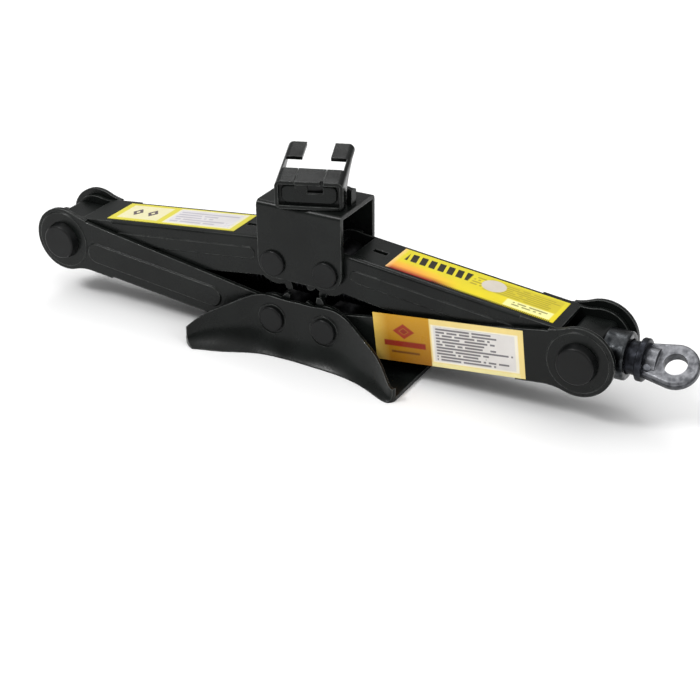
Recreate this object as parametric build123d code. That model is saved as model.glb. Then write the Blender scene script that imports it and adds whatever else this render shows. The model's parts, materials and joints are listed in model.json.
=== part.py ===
from build123d import *
import os
from math import acos, asin, atan, cos, degrees, pi, radians, sin, sqrt, tan

# Folding scissor jack: base at the ground, +X towards the drive eye, -Y the front, +Z up. Millimetres.

# Linkage
PIN_SPAN = 330.0        # between the two trunnion axes, folded
PIN_Z = 37.0            # screw axis above the ground
GEAR_R = 16.75          # pitch radius of the arm gears, half the spacing of the pivots
PIN_X = PIN_SPAN / 2
BASE_PIVOT_Z = PIN_Z - GEAR_R
TOP_PIVOT_Z = PIN_Z + GEAR_R
ARM_LENGTH = sqrt((PIN_X - GEAR_R) ** 2 + GEAR_R ** 2)
FOLD_ANGLE = degrees(asin(GEAR_R / ARM_LENGTH))
SHEET = 2.5
GAP = 0.3
OVERCUT = 1.0           # cuts run this far past the surface they open

# Widths from the middle plane
BLOCK_HALF = 13.2
UPPER_HALF = 16.0
LOWER_HALF = UPPER_HALF + 0.8 + SHEET
BRACKET_HALF = LOWER_HALF

# Arms
LOWER_EYE_R = 19.5
UPPER_EYE_R = 16.0
LOWER_WEB = 14.5        # from the arm's axis to the outside of its web
UPPER_WEB = 13.5
OPEN_EDGE_GEAR = 9.5    # from the arm's axis to the open edge, at the gear and at the eye
OPEN_EDGE_EYE = 17.0
UPPER_OPEN_EDGE_EYE = 13.0
WEB_FROM_PIVOT = 12.0
WEB_FROM_PIN = 14.0
EYE_BLEND_R = 30.0
WEDGE_OVERLAP = 2.0
EDGE_R = 2.0
PIVOT_R = 5.0
JOURNAL_R = 8.0
RUN_FIT = 0.05

# Gears: teeth are cut on the sheet, so they are short and loose
TEETH_PER_TURN = 12
TOOTH_PITCH = 360.0 / TEETH_PER_TURN
PRESSURE_ANGLE = radians(25.0)
MODULE = 2 * GEAR_R / TEETH_PER_TURN
TIP_R = GEAR_R + 0.72 * MODULE
ROOT_R = GEAR_R - 1.0 * MODULE
BASE_CIRCLE_R = GEAR_R * cos(PRESSURE_ANGLE)
TOOTH_SLACK = 0.35
TEETH_ON_ARM = 3
FLANK_STEPS = 6

# Beads pressed in the arms
BEAD_HEIGHT = 0.9
UPPER_BEAD_HEIGHT = 0.5
EYE_BOSS_HEIGHT = 0.6
EYE_BOSS_R = 17.4
EYE_BOSS_CHAMFER = 0.48
BEAD_DRAFT = 35
LOWER_BEAD = (36.0, 131.0, -1.5, 13.0)      # start, end, height and width of the bead on the left arm
UPPER_BEAD = (13.5, 112.0, -3.0, 7.4)
WEB_SLOT_X = 22.6
WEB_SLOT_LENGTH = 8.6
WEB_SLOT_WIDTH = 3.4
ROUND_SHORT_OF_EYE = 36.0

# Base
BASE_SHEET = 2.2
BASE_HALF_LENGTH = 71.5
BASE_END_HALF = 43.0
FOOT_HALVES = (45.0, 43.6, 40.0, 35.4, 30.6, 28.9, 28.8, 29.6, 30.4, 32.2, 36.0, 41.9, 44.4)
FOOT_TRIM = 0.4
BASE_WALL_IN = LOWER_HALF + GAP
BASE_WALL_TOP = 33.5
BASE_WALL_END = 8.0
BASE_BOSS_HALF = BASE_WALL_IN + BASE_SHEET + 0.6
BOSS_R = 9.0
FLARE_START = 0.33
FLARE_POWER = 1.4
DROP_POWER = 1.3
LEAN_POWER = 4
WALL_STEPS = 5
BASE_BLANK_HALF = 45.2
BASE_LEFT_CORNER_R = 22.0
BASE_RIGHT_CORNER_R = 5.0

# Top bracket
BRACKET_HALF_LENGTH = 26.7
BRACKET_BOTTOM = 44.6
BRACKET_TOP = 89.6
BRACKET_CORNER_R = 10.0
BRACKET_BEND_R = 3.0
LUG_X = 21.3
LUG_THICK = 3.0
LUG_WIDTH = 5.0
LUG_HEIGHT = 9.0
LUG_ROOT = 2.0          # part of the lug inside the sheet

# Saddle
SADDLE_TURN = 20.0
SADDLE_HALF = 18.8
SADDLE_FRONT = -20.0
SADDLE_BACK = 21.9
SADDLE_SHEET = 2.0
SADDLE_BASE = BRACKET_TOP + GAP
SADDLE_FRONT_Z = 106.0
SADDLE_BACK_Z = 113.0
SADDLE_WINDOW = 6.0
SADDLE_SLOT = 8.0
SADDLE_FLOOR_BACK = 12.0
SADDLE_PLAN_R = 3.5
SADDLE_BEND_R = 3.4
SADDLE_RIM = 3.6
WALL_FOOT_BACK = -9.0
WALL_KNEE = (-8.0, 8.0)         # Y, and height above the floor's underside, on the rear edge of a side wall
WALL_SHOULDER = (0.0, 13.0)
PAN_RECESS = 2.8
PAN_SHEET = 2.4
PAN_UNDER_LIP = 0.5
PAN_TOP = SADDLE_FRONT_Z - SADDLE_SHEET - PAN_UNDER_LIP
PAN_BOSS = (-15.2, 15.2, 93.2, PAN_TOP)     # left, right, bottom and top of the raised field
PAN_BOSS_HEIGHT = 1.8
PAN_BOSS_R = 3.6
PAN_BOSS_WALL = 1.6
STRAP_DROP = 2.0
STRAP_RIGHT = -1.0
TONGUE_RIGHT = 6.1
PAN_SLOT_BOTTOM = 99.0
CUT_BLOCK = 60.0

# Fasteners
PIN_HEAD_R = 7.5
PIN_HEAD_H = 2.0
SLEEVE_R = 7.8
CAP_R = 11.25
CAP_FACE_R = 10.1
CAP_H = 4.8
SWIVEL_R = 5.0
SWIVEL_HEAD_R = 9.0
SWIVEL_HEAD_H = 3.0
SWIVEL_HEAD_EDGE_R = 1.8
SWIVEL_WASHER_R = 10.5
WASHER_H = 1.5

# Screw, thrust bearing and drive eye
SCREW_R = 7.0
SCREW_CHAMFER = 1.2
BORE_CUT_HALF = 40.0
SCREW_LEFT = -183.5
SCREW_TAIL_R = 5.0
NUT_LEFT = 12.0
NUT_RIGHT = 12.0
BEARING_LEFT = 10.0
BEARING_RIGHT = 9.0
BLOCK_HEIGHT = 11.0
BLOCK_CORNER_R = 3.0
STOP_R = 10.0
STOP_H = 2.6
STOP_PIN_R = 1.5
CUP_R = 13.0
CUP_WALL = 1.0
CUP_EDGE_R = 1.5
CUP_LENGTH = 12.2
CUP_MOUTH_R = 9.6
RACE_H = 3.6
RACE_BORE_R = 7.3
BALL_R = 1.6
BALL_PITCH_R = 9.5
BALL_COUNT = 12
RACE_GAP = 2.2
RACE_SEAT = 0.1
RACE_CLEAR = 0.5
CAGE_H = 1.4
SHOULDER_R = 9.0
FLANGE_R = 11.5
FLANGE_X = 191.6
FLANGE_H = 3.6
FLANGE_EDGE_R = 0.8
NECK_R = 7.5
NECK_END_X = 201.4
EYE_ROOT_HALF = 9.0
EYE_X = 210.6
EYE_R = 12.25
EYE_HOLE_R = 6.2
EYE_THICK = 6.6
EYE_TILT = 35.0
CROSS_PIN_R = 2.0

BALL_X = PIN_X + BEARING_RIGHT + RACE_SEAT + RACE_H + RACE_GAP / 2
SHOULDER_X = BALL_X + RACE_GAP / 2 + RACE_H
SCREW_SHOULDER_X = SHOULDER_X - RACE_CLEAR
EYE_ROOT_X = FLANGE_X + FLANGE_H / 3
TAIL_END_X = 200.2
TAIL_FIT = 0.02
CROSS_PIN_X = 197.5
STOP_RING_X = -PIN_X - NUT_LEFT - GAP - STOP_H
STOP_PIN_X = STOP_RING_X - STOP_PIN_R
STOP_PIN_HALF = 9.0
EYE_EDGE_R = 2.2
CAGE_R = 11.6
JOURNAL_HALF = LOWER_HALF + EYE_BOSS_HEIGHT + GAP
CAP_EDGE_R = 1.0

# Labels
LABEL_H = 0.25
SIDE_LABEL = (31.0, 119.5, -13.6, 14.4)
TOP_LABEL_RIGHT = (32.0, 130.0)
TOP_LABEL_LEFT = (28.5, 118.5)
TOP_LABEL_HALF = 12.5


def slab(face, y0, y1):
    """Plate between two Y values from a face drawn in X and Z."""
    return Pos(0, y1, 0) * extrude(Plane.XZ * face, amount=y1 - y0)


def both_sides(face, y0, y1):
    """The same plate on the front and on the back."""
    return slab(face, y0, y1) + slab(face, -y1, -y0)


def disc_x(radius, x0, x1, y=0.0, z=PIN_Z):
    """Disc or rod along X."""
    return Pos((x0 + x1) / 2, y, z) * Rot(0, 90, 0) * Cylinder(radius, x1 - x0)


def disc_y(radius, y0, y1, x=0.0, z=0.0):
    """Disc or rod along Y."""
    return Pos(x, (y0 + y1) / 2, z) * Rot(90, 0, 0) * Cylinder(radius, y1 - y0)


def ring_x(outer, inner, x0, x1):
    """Ring around the screw axis."""
    return disc_x(outer, x0, x1) - disc_x(inner, x0 - OVERCUT, x1 + OVERCUT)


def involute(angle):
    return tan(angle) - angle


def tooth_face(centre_deg):
    """One tooth of an arm gear, from inside the root circle to the tip."""
    half_at_pitch = (pi * MODULE / 2 - TOOTH_SLACK) / 2 / GEAR_R
    flank = []
    for step in range(FLANK_STEPS + 1):
        radius = BASE_CIRCLE_R + (TIP_R - BASE_CIRCLE_R) * step / FLANK_STEPS
        half = half_at_pitch + involute(PRESSURE_ANGLE) - involute(acos(BASE_CIRCLE_R / radius))
        flank.append((radius, half))
    flank.insert(0, (ROOT_R - OVERCUT, flank[0][1]))
    middle = radians(centre_deg)
    left = [(r * cos(middle + h), r * sin(middle + h)) for r, h in flank]
    right = [(r * cos(middle - h), r * sin(middle - h)) for r, h in reversed(flank)]
    points = left + right
    return make_face(Polyline(*points, points[0]))


def arm_outline(eye_r, web, open_gear, open_eye, teeth):
    """Side view of an arm: gear pivot at the origin, eye on +X, web below, open edge above."""
    edge = [(0, -web), (ARM_LENGTH, -web), (ARM_LENGTH, open_eye), (0, open_gear), (0, -web)]
    body = make_face(Polyline(*edge))
    eye = Pos(ARM_LENGTH, 0) * Circle(eye_r)
    # A waist fillet on each side of the eye
    for side, reach in ((-1, web), (1, open_eye)):
        back = sqrt((eye_r + EYE_BLEND_R) ** 2 - (EYE_BLEND_R + reach) ** 2)
        centre = (ARM_LENGTH - back, side * (reach + EYE_BLEND_R))
        touch_eye = (ARM_LENGTH - back * eye_r / (eye_r + EYE_BLEND_R),
                     side * (reach + EYE_BLEND_R) * eye_r / (eye_r + EYE_BLEND_R))
        overlap = (centre[0], side * (reach - WEDGE_OVERLAP))
        wedge = make_face(Polyline(overlap, (centre[0], side * reach), centre, touch_eye,
                                   (ARM_LENGTH, 0), overlap))
        body += wedge - Pos(*centre) * Circle(EYE_BLEND_R)
    heel = Circle(web) & (Pos(-web / 2, -web + web / 4) * Rectangle(web, web / 2))
    outline = body + eye + Circle(ROOT_R) + heel
    for angle in teeth:
        outline += tooth_face(angle - FOLD_ANGLE)
    outline -= Circle(PIVOT_R + RUN_FIT)
    outline -= Pos(ARM_LENGTH, 0) * Circle(JOURNAL_R + RUN_FIT)
    return outline


def rounded_lower_edges(arm, half, web):
    """Round the two long outside corners of the channel."""
    length = ARM_LENGTH - ROUND_SHORT_OF_EYE
    for side in (-1, 1):
        square = Pos(side * (half - EDGE_R / 2), -web + EDGE_R / 2) * Rectangle(EDGE_R, EDGE_R)
        quarter = Pos(side * (half - EDGE_R), -web + EDGE_R) * Circle(EDGE_R)
        arm -= extrude(Plane.YZ * (square - quarter), amount=length)
    return arm


def channel_arm(half, eye_r, web, open_eye, teeth):
    """U channel with gear teeth at one end of its flanges and an eye at the other."""
    outline = arm_outline(eye_r, web, OPEN_EDGE_GEAR, open_eye, teeth)
    arm = both_sides(outline, half - SHEET, half)
    web_length = ARM_LENGTH - WEB_FROM_PIVOT - WEB_FROM_PIN
    web_x = WEB_FROM_PIVOT + web_length / 2
    arm += Pos(web_x, 0, -web + SHEET / 2) * Box(web_length, 2 * half, SHEET)
    return rounded_lower_edges(arm, half, web)


def pressed_bead(arm, half, bead, height):
    """Long bead pushed out of both flanges, with the matching hollow inside."""
    x0, x1, v, width = bead
    middle = Pos((x0 + x1) / 2, v)
    outside = middle * SlotOverall(x1 - x0, width)
    inside = middle * SlotOverall(x1 - x0 - 2 * height, width - 2 * height)
    pad = Pos(0, -half, 0) * extrude(Plane.XZ * outside, amount=height, taper=BEAD_DRAFT)
    hollow = slab(inside, SHEET - half - height, SHEET - half + OVERCUT)
    arm = arm + pad + mirror(pad, Plane.XZ)
    return arm - hollow - mirror(hollow, Plane.XZ)


def eye_bosses(arm, half):
    """Raised round field pressed around the eye on both outside faces."""
    boss = disc_y(EYE_BOSS_R, -half - EYE_BOSS_HEIGHT, -half, ARM_LENGTH)
    rim = boss.faces().sort_by(Axis.Y)[0].edges()
    boss = chamfer(rim, EYE_BOSS_CHAMFER)
    boss -= disc_y(JOURNAL_R + RUN_FIT, -half - 2 * EYE_BOSS_HEIGHT, -half + OVERCUT, ARM_LENGTH)
    return arm + boss + mirror(boss, Plane.XZ)


def place_arm(shape, upper, left):
    """Put an arm, drawn along +X from its gear, into the folded linkage."""
    shape = Pos(GEAR_R, 0, BASE_PIVOT_Z) * Rot(0, -FOLD_ANGLE, 0) * shape
    if upper:
        shape = mirror(shape, Plane.XY.offset(PIN_Z))
    if left:
        shape = mirror(shape, Plane.YZ)
    return shape


def tooth_angles(left):
    """Teeth of the left arms sit in the gaps of the right arms."""
    first = 180.0 if left else 180.0 - TOOTH_PITCH / 2
    return [first - TOOTH_PITCH * i for i in range(TEETH_ON_ARM)]


def lower_arm(left):
    arm = channel_arm(LOWER_HALF, LOWER_EYE_R, LOWER_WEB, OPEN_EDGE_EYE, tooth_angles(left))
    arm = eye_bosses(arm, LOWER_HALF)
    if left:
        arm = pressed_bead(arm, LOWER_HALF, LOWER_BEAD, BEAD_HEIGHT)
    return place_arm(arm, False, left)


def upper_arm(left):
    arm = channel_arm(UPPER_HALF, UPPER_EYE_R, UPPER_WEB, UPPER_OPEN_EDGE_EYE, tooth_angles(left))
    arm = pressed_bead(arm, UPPER_HALF, UPPER_BEAD, UPPER_BEAD_HEIGHT)
    arm -= Pos(WEB_SLOT_X, 0, -UPPER_WEB) * Box(WEB_SLOT_LENGTH, WEB_SLOT_WIDTH, 4 * SHEET)
    return place_arm(arm, True, left)


def ease(value, start):
    """0 up to the start of a flare, 1 at the end of the base."""
    return max(0.0, (value - start) / (1.0 - start))


def base_section(x, foot):
    """Cross-section of the base at one X: a trough with walls that lean outwards at the foot."""
    t = abs(x) / BASE_HALF_LENGTH
    narrow = BASE_WALL_IN + BASE_SHEET
    top = narrow + (BASE_END_HALF - narrow) * ease(t, FLARE_START) ** FLARE_POWER
    height = BASE_WALL_TOP - (BASE_WALL_TOP - BASE_WALL_END) * ease(t, FLARE_START) ** DROP_POWER
    steps = [i / WALL_STEPS for i in range(WALL_STEPS + 1)]

    def wall(z, inside):
        lean = (foot - top) * (1 - z / height) ** LEAN_POWER
        slope = (foot - top) * LEAN_POWER / height * (1 - z / height) ** (LEAN_POWER - 1)
        return top + lean - inside * BASE_SHEET * sqrt(1 + slope * slope)

    outer_heights = [(height + FOOT_TRIM) * s - FOOT_TRIM for s in steps]
    outer = [(wall(z, 0), z) for z in outer_heights]
    inner_heights = [BASE_SHEET + (height - BASE_SHEET) * s for s in steps]
    inner = [(wall(z, 1), z) for z in inner_heights]
    mirrored_outer = [(-y, z) for y, z in outer]
    mirrored_inner = [(-y, z) for y, z in inner]
    wire = [Line(mirrored_outer[0], outer[0]), Spline(*outer), Line(outer[-1], inner[-1]),
            Spline(*reversed(inner)), Line(inner[0], mirrored_inner[0]), Spline(*mirrored_inner),
            Line(mirrored_inner[-1], mirrored_outer[-1]), Spline(*reversed(mirrored_outer))]
    return Plane.YZ.offset(x) * make_face(wire)


def base_plate():
    """Stamped saddle: flat floor, upright walls at the pivots, flared low flanges at the ends."""
    gaps = len(FOOT_HALVES) - 1
    stations = [BASE_HALF_LENGTH * (2 * i / gaps - 1) for i in range(gaps + 1)]
    base = loft([base_section(x, foot) for x, foot in zip(stations, FOOT_HALVES)])
    blank = Rectangle(2 * BASE_HALF_LENGTH, 2 * BASE_BLANK_HALF)
    blank = fillet(blank.vertices().sort_by(Axis.X)[:2], BASE_LEFT_CORNER_R)
    blank = fillet(blank.vertices().sort_by(Axis.X)[-2:], BASE_RIGHT_CORNER_R)
    base -= Pos(0, 0, -BASE_BLANK_HALF) * Box(4 * BASE_BLANK_HALF, 4 * BASE_BLANK_HALF, 2 * BASE_BLANK_HALF)
    base &= Pos(0, 0, -OVERCUT) * extrude(blank, amount=BASE_WALL_TOP + 2 * OVERCUT)
    for side in (-1, 1):
        x = side * GEAR_R
        boss = disc_y(BOSS_R, -BASE_BOSS_HALF, BASE_BOSS_HALF, x, BASE_PIVOT_Z)
        base += boss - disc_y(BOSS_R + OVERCUT, -BASE_WALL_IN, BASE_WALL_IN, x, BASE_PIVOT_Z)
        for face in (-1, 1):
            y0, y1 = sorted((face * BASE_BOSS_HALF, face * BASE_END_HALF))
            base -= disc_y(BOSS_R, y0, y1, x, BASE_PIVOT_Z)
        base -= disc_y(PIVOT_R, -BASE_END_HALF, BASE_END_HALF, x, BASE_PIVOT_Z)
    return base


def headed_pin(seat_half, x, z):
    """Cross pin with a riveted head outside each wall."""
    pin = disc_y(PIVOT_R, -seat_half, seat_half, x, z)
    for side in (-1, 1):
        y0, y1 = sorted((side * seat_half, side * (seat_half + PIN_HEAD_H)))
        head = disc_y(PIN_HEAD_R, y0, y1, x, z)
        outer = head.faces().sort_by(Axis.Y)[0 if side < 0 else -1].edges()
        pin += fillet(outer, PIN_HEAD_H / 2)
    return pin


def pivot_sleeve(half, x, z):
    sleeve = disc_y(SLEEVE_R, -half, half, x, z)
    return sleeve - disc_y(PIVOT_R + RUN_FIT, -half - OVERCUT, half + OVERCUT, x, z)


def top_bracket():
    """Inverted U that holds the upper pivots, with a stop lug for the saddle."""
    height = BRACKET_TOP - BRACKET_BOTTOM
    outer = Rectangle(2 * BRACKET_HALF, height)
    top_corners = outer.vertices().sort_by(Axis.Y)[-2:]
    outer = fillet(top_corners, BRACKET_BEND_R)
    channel = outer - Pos(0, -SHEET) * Rectangle(2 * (BRACKET_HALF - SHEET), height)
    middle_z = (BRACKET_TOP + BRACKET_BOTTOM) / 2
    end = Plane.YZ.offset(-BRACKET_HALF_LENGTH) * Pos(0, middle_z) * channel
    body = extrude(end, amount=2 * BRACKET_HALF_LENGTH)
    side = Rectangle(2 * BRACKET_HALF_LENGTH, height)
    low_corners = side.vertices().sort_by(Axis.Y)[:2]
    side = fillet(low_corners, BRACKET_CORNER_R)
    body &= slab(Pos(0, middle_z) * side, -BRACKET_HALF - OVERCUT, BRACKET_HALF + OVERCUT)
    for x in (-GEAR_R, GEAR_R):
        body -= disc_y(PIVOT_R, -BRACKET_HALF - OVERCUT, BRACKET_HALF + OVERCUT, x, TOP_PIVOT_Z)
    body -= Pos(0, 0, BRACKET_TOP) * Cylinder(SWIVEL_R, 4 * SHEET)
    lug_z = BRACKET_TOP + (LUG_HEIGHT - LUG_ROOT) / 2
    lug = Pos(LUG_X + LUG_THICK / 2, 0, lug_z) * Box(LUG_THICK, LUG_WIDTH, LUG_HEIGHT + LUG_ROOT)
    top_edges = lug.edges().filter_by(Axis.X).sort_by(Axis.Z)[-2:]
    return body + fillet(top_edges, LUG_WIDTH / 4)


def swivel_rivet():
    """Rivet through the bracket's top and the saddle's floor."""
    washer_z = SADDLE_BASE + SADDLE_SHEET + GAP
    head_z = washer_z + WASHER_H
    tail_z = BRACKET_TOP - SHEET
    shank = Pos(0, 0, (tail_z + head_z) / 2) * Cylinder(SWIVEL_R, head_z - tail_z)
    head = Pos(0, 0, head_z + SWIVEL_HEAD_H / 2) * Cylinder(SWIVEL_HEAD_R, SWIVEL_HEAD_H)
    head = fillet(head.faces().sort_by(Axis.Z)[-1].edges(), SWIVEL_HEAD_EDGE_R)
    tail = Pos(0, 0, tail_z - PIN_HEAD_H / 2) * Cylinder(PIN_HEAD_R, PIN_HEAD_H)
    return shank + head + tail


def swivel_washer():
    z = SADDLE_BASE + SADDLE_SHEET + GAP + WASHER_H / 2
    return Pos(0, 0, z) * (Cylinder(SWIVEL_WASHER_R, WASHER_H) - Cylinder(SWIVEL_R, 2 * WASHER_H))


def saddle_top(y):
    """Height of the sloping top of the saddle."""
    run = (y - SADDLE_FRONT) / (SADDLE_BACK - SADDLE_FRONT)
    return SADDLE_FRONT_Z + (SADDLE_BACK_Z - SADDLE_FRONT_Z) * run


def saddle_profile(points, x0, x1):
    """Prism along X from a closed side view in Y and Z."""
    face = make_face(Polyline(*points, points[0]))
    return extrude(Plane.YZ.offset(x0) * face, amount=x1 - x0)


def front_pan(strap_half):
    """Recessed front wall with a raised rounded field, a bend up to the centre plate and a slot."""
    y0 = SADDLE_FRONT + PAN_RECESS
    y1 = y0 + PAN_SHEET
    y_field = y0 - PAN_BOSS_HEIGHT
    wall_width = 2 * SADDLE_HALF - SADDLE_SHEET
    wall_height = PAN_TOP - SADDLE_BASE
    pan = Pos(0, (y0 + y1) / 2, SADDLE_BASE + wall_height / 2) * Box(wall_width, PAN_SHEET, wall_height)
    left, right, bottom, top = PAN_BOSS
    middle = Pos((left + right) / 2, (bottom + top) / 2)
    field = slab(middle * RectangleRounded(right - left, top - bottom, PAN_BOSS_R), y_field, y1)
    rim = field.faces().sort_by(Axis.Y)[0].edges()
    pan += fillet(rim, PAN_BOSS_HEIGHT / 2)
    inside = middle * RectangleRounded(
        right - left - 2 * PAN_BOSS_WALL, top - bottom - 2 * PAN_BOSS_WALL, PAN_BOSS_R - PAN_BOSS_WALL)
    pan -= slab(inside, y_field + PAN_BOSS_WALL, y1 + OVERCUT)
    bend = [(SADDLE_FRONT, SADDLE_FRONT_Z), (y1, SADDLE_FRONT_Z),
            (y1, PAN_TOP - STRAP_DROP), (y_field, PAN_TOP - STRAP_DROP)]
    pan += saddle_profile(bend, -strap_half, STRAP_RIGHT)
    slot_height = PAN_TOP - PAN_SLOT_BOTTOM + OVERCUT
    slot = Box(strap_half - STRAP_RIGHT, 4 * PAN_SHEET, slot_height)
    return pan - Pos((strap_half + STRAP_RIGHT) / 2, y0, PAN_SLOT_BOTTOM + slot_height / 2) * slot


def sheet_profile(y0, y1):
    """Side view of a strip of the saddle's sloping top."""
    z0 = saddle_top(y0)
    z1 = saddle_top(y1)
    return [(y0, z0 - SADDLE_SHEET), (y1, z1 - SADDLE_SHEET), (y1, z1), (y0, z0)]


def load_saddle():
    """Hooked head: floor, side walls, four inward lips, a cross window and a closed pan at the front."""
    width = 2 * SADDLE_HALF
    floor_length = SADDLE_FLOOR_BACK - SADDLE_FRONT
    floor_y = (SADDLE_FLOOR_BACK + SADDLE_FRONT) / 2
    floor_plan = Pos(0, floor_y) * RectangleRounded(width, floor_length, SADDLE_PLAN_R)
    saddle = extrude(Plane.XY.offset(SADDLE_BASE) * floor_plan, amount=SADDLE_SHEET)
    # Side walls, cut away at the rear below the lips
    rear_knee = 2 * SADDLE_WINDOW
    wall = [(SADDLE_FRONT, SADDLE_BASE), (WALL_FOOT_BACK, SADDLE_BASE),
            (WALL_KNEE[0], SADDLE_BASE + WALL_KNEE[1]), (WALL_SHOULDER[0], SADDLE_BASE + WALL_SHOULDER[1]),
            (rear_knee, saddle_top(rear_knee) - SADDLE_RIM), (SADDLE_BACK, SADDLE_BACK_Z - SADDLE_RIM),
            (SADDLE_BACK, SADDLE_BACK_Z), (SADDLE_FRONT, SADDLE_FRONT_Z)]
    saddle += saddle_profile(wall, SADDLE_HALF - SADDLE_SHEET, SADDLE_HALF)
    saddle += saddle_profile(wall, -SADDLE_HALF, SADDLE_SHEET - SADDLE_HALF)
    # Four lips around the cross window and the seam slot
    lips = saddle_profile(sheet_profile(SADDLE_FRONT, SADDLE_BACK), -SADDLE_HALF, SADDLE_HALF)
    lips -= Pos(0, 0, SADDLE_BACK_Z) * Box(width - 2 * SADDLE_SHEET, 2 * SADDLE_WINDOW, CUT_BLOCK)
    lips -= Pos(0, 0, SADDLE_BACK_Z) * Box(2 * SADDLE_SLOT, 4 * SADDLE_BACK, CUT_BLOCK)
    saddle += lips
    # Centre plate between the front lips; its left part bends down into the pan, its right part is a tongue
    strap_half = SADDLE_SLOT - GAP
    saddle += saddle_profile(sheet_profile(SADDLE_FRONT, -SADDLE_WINDOW), -strap_half, strap_half)
    saddle -= Pos((TONGUE_RIGHT + SADDLE_SLOT) / 2, SADDLE_FRONT, SADDLE_FRONT_Z) * Box(
        SADDLE_SLOT - TONGUE_RIGHT, 2 * PAN_BOSS_HEIGHT, 4 * SADDLE_SHEET)
    saddle += front_pan(strap_half)
    # Rounded bends along both long sides, above and below
    low = Rectangle(width, CUT_BLOCK)
    low = fillet(low.vertices().sort_by(Axis.Y)[:2], SADDLE_BEND_R)
    low = Pos(0, SADDLE_BASE + CUT_BLOCK / 2) * low
    saddle &= slab(low, SADDLE_FRONT - OVERCUT, SADDLE_BACK + OVERCUT)
    high = Rectangle(width, CUT_BLOCK)
    high = fillet(high.vertices().sort_by(Axis.Y)[-2:], SADDLE_BEND_R)
    high = slab(Pos(0, -CUT_BLOCK / 2) * high, 2 * SADDLE_FRONT, 2 * SADDLE_BACK)
    slope = degrees(atan((SADDLE_BACK_Z - SADDLE_FRONT_Z) / (SADDLE_BACK - SADDLE_FRONT)))
    saddle &= Pos(0, 0, saddle_top(0)) * Rot(slope, 0, 0) * high
    saddle -= Pos(0, 0, SADDLE_BASE) * Cylinder(SWIVEL_R + RUN_FIT, 4 * SADDLE_SHEET)
    return Rot(0, 0, SADDLE_TURN) * saddle


def trunnion(x, left, right):
    """Square block on the screw, with a journal on each side for the arms."""
    block = Pos((right - left) / 2, 0) * RectangleRounded(left + right, 2 * BLOCK_HEIGHT, BLOCK_CORNER_R)
    body = slab(Pos(x, PIN_Z) * block, -BLOCK_HALF, BLOCK_HALF)
    body += disc_y(JOURNAL_R, -JOURNAL_HALF, JOURNAL_HALF, x, PIN_Z)
    return body - disc_x(SCREW_R + RUN_FIT, x - BORE_CUT_HALF, x + BORE_CUT_HALF)


def trunnion_caps(x):
    """Tapered retaining cap on the end of each journal."""
    caps = []
    for side in (-1, 1):
        cap = Rot(-90 * side, 0, 0) * Cone(CAP_R, CAP_FACE_R, CAP_H)
        cap = Pos(x, side * (JOURNAL_HALF + CAP_H / 2), PIN_Z) * cap
        outer = cap.faces().sort_by(Axis.Y)[0 if side < 0 else -1].edges()
        caps.append(fillet(outer, CAP_EDGE_R))
    return caps


def lead_screw():
    """Screw at its major diameter, with a turned tail for the drive eye."""
    rod = disc_x(SCREW_R, SCREW_LEFT, SCREW_SHOULDER_X)
    rod = chamfer(rod.faces().sort_by(Axis.X)[0].edges(), SCREW_CHAMFER)
    rod += disc_x(SCREW_TAIL_R, SCREW_SHOULDER_X, TAIL_END_X)
    rod -= disc_y(CROSS_PIN_R, -SCREW_R, SCREW_R, CROSS_PIN_X, PIN_Z)
    return rod - disc_y(STOP_PIN_R, -SCREW_R - OVERCUT, SCREW_R + OVERCUT, STOP_PIN_X, PIN_Z)


def drive_eye():
    """Forged end: shoulder on the thrust race, flange, neck and a flat eye that widens from its root."""
    body = disc_x(SHOULDER_R, SHOULDER_X, FLANGE_X)
    flange = disc_x(FLANGE_R, FLANGE_X, FLANGE_X + FLANGE_H)
    body += fillet(flange.edges(), FLANGE_EDGE_R)
    body += disc_x(NECK_R, FLANGE_X, NECK_END_X)
    ring = Pos(EYE_X, 0) * Circle(EYE_R)
    root = Line((EYE_ROOT_X, -EYE_ROOT_HALF), (EYE_ROOT_X, EYE_ROOT_HALF))
    eye = extrude(make_hull([ring.edge(), root]), amount=EYE_THICK / 2, both=True)
    flats = eye.faces().sort_by(Axis.Z)
    edges = flats[0].edges() + flats[-1].edges()
    rim = [edge for edge in edges if edge.center().X > EYE_ROOT_X + OVERCUT]
    eye = fillet(rim, EYE_EDGE_R)
    body += Pos(0, 0, PIN_Z) * Rot(EYE_TILT, 0, 0) * eye
    body -= Pos(EYE_X, 0, PIN_Z) * Rot(EYE_TILT, 0, 0) * Cylinder(EYE_HOLE_R, 2 * EYE_R)
    body -= disc_x(SCREW_TAIL_R + TAIL_FIT, SHOULDER_X - OVERCUT, TAIL_END_X + GAP)
    return body - disc_y(CROSS_PIN_R, -NECK_R - OVERCUT, NECK_R + OVERCUT, CROSS_PIN_X, PIN_Z)


def bearing_cup():
    """Sheet cup over the thrust bearing, open towards the trunnion block."""
    x0 = PIN_X + BEARING_RIGHT
    x1 = x0 + CUP_LENGTH
    cup = disc_x(CUP_R, x0, x1)
    cup = fillet(cup.faces().sort_by(Axis.X)[-1].edges(), CUP_EDGE_R)
    cup -= disc_x(CUP_R - CUP_WALL, x0 - OVERCUT, x1 - CUP_WALL)
    return cup - disc_x(CUP_MOUTH_R, x0, x1 + OVERCUT)


def race(x0, outer):
    """Thrust race with a shallow ball track on the side of the balls."""
    body = ring_x(outer, RACE_BORE_R, x0, x0 + RACE_H)
    track = Pos(BALL_X, 0, PIN_Z) * Rot(0, 90, 0) * Torus(BALL_PITCH_R, BALL_R + RUN_FIT)
    return body - track


def ball_centres():
    return [(BALL_PITCH_R * cos(2 * pi * i / BALL_COUNT), BALL_PITCH_R * sin(2 * pi * i / BALL_COUNT))
            for i in range(BALL_COUNT)]


def thrust_balls():
    return [Pos(BALL_X, y, PIN_Z + z) * Sphere(BALL_R) for y, z in ball_centres()]


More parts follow.
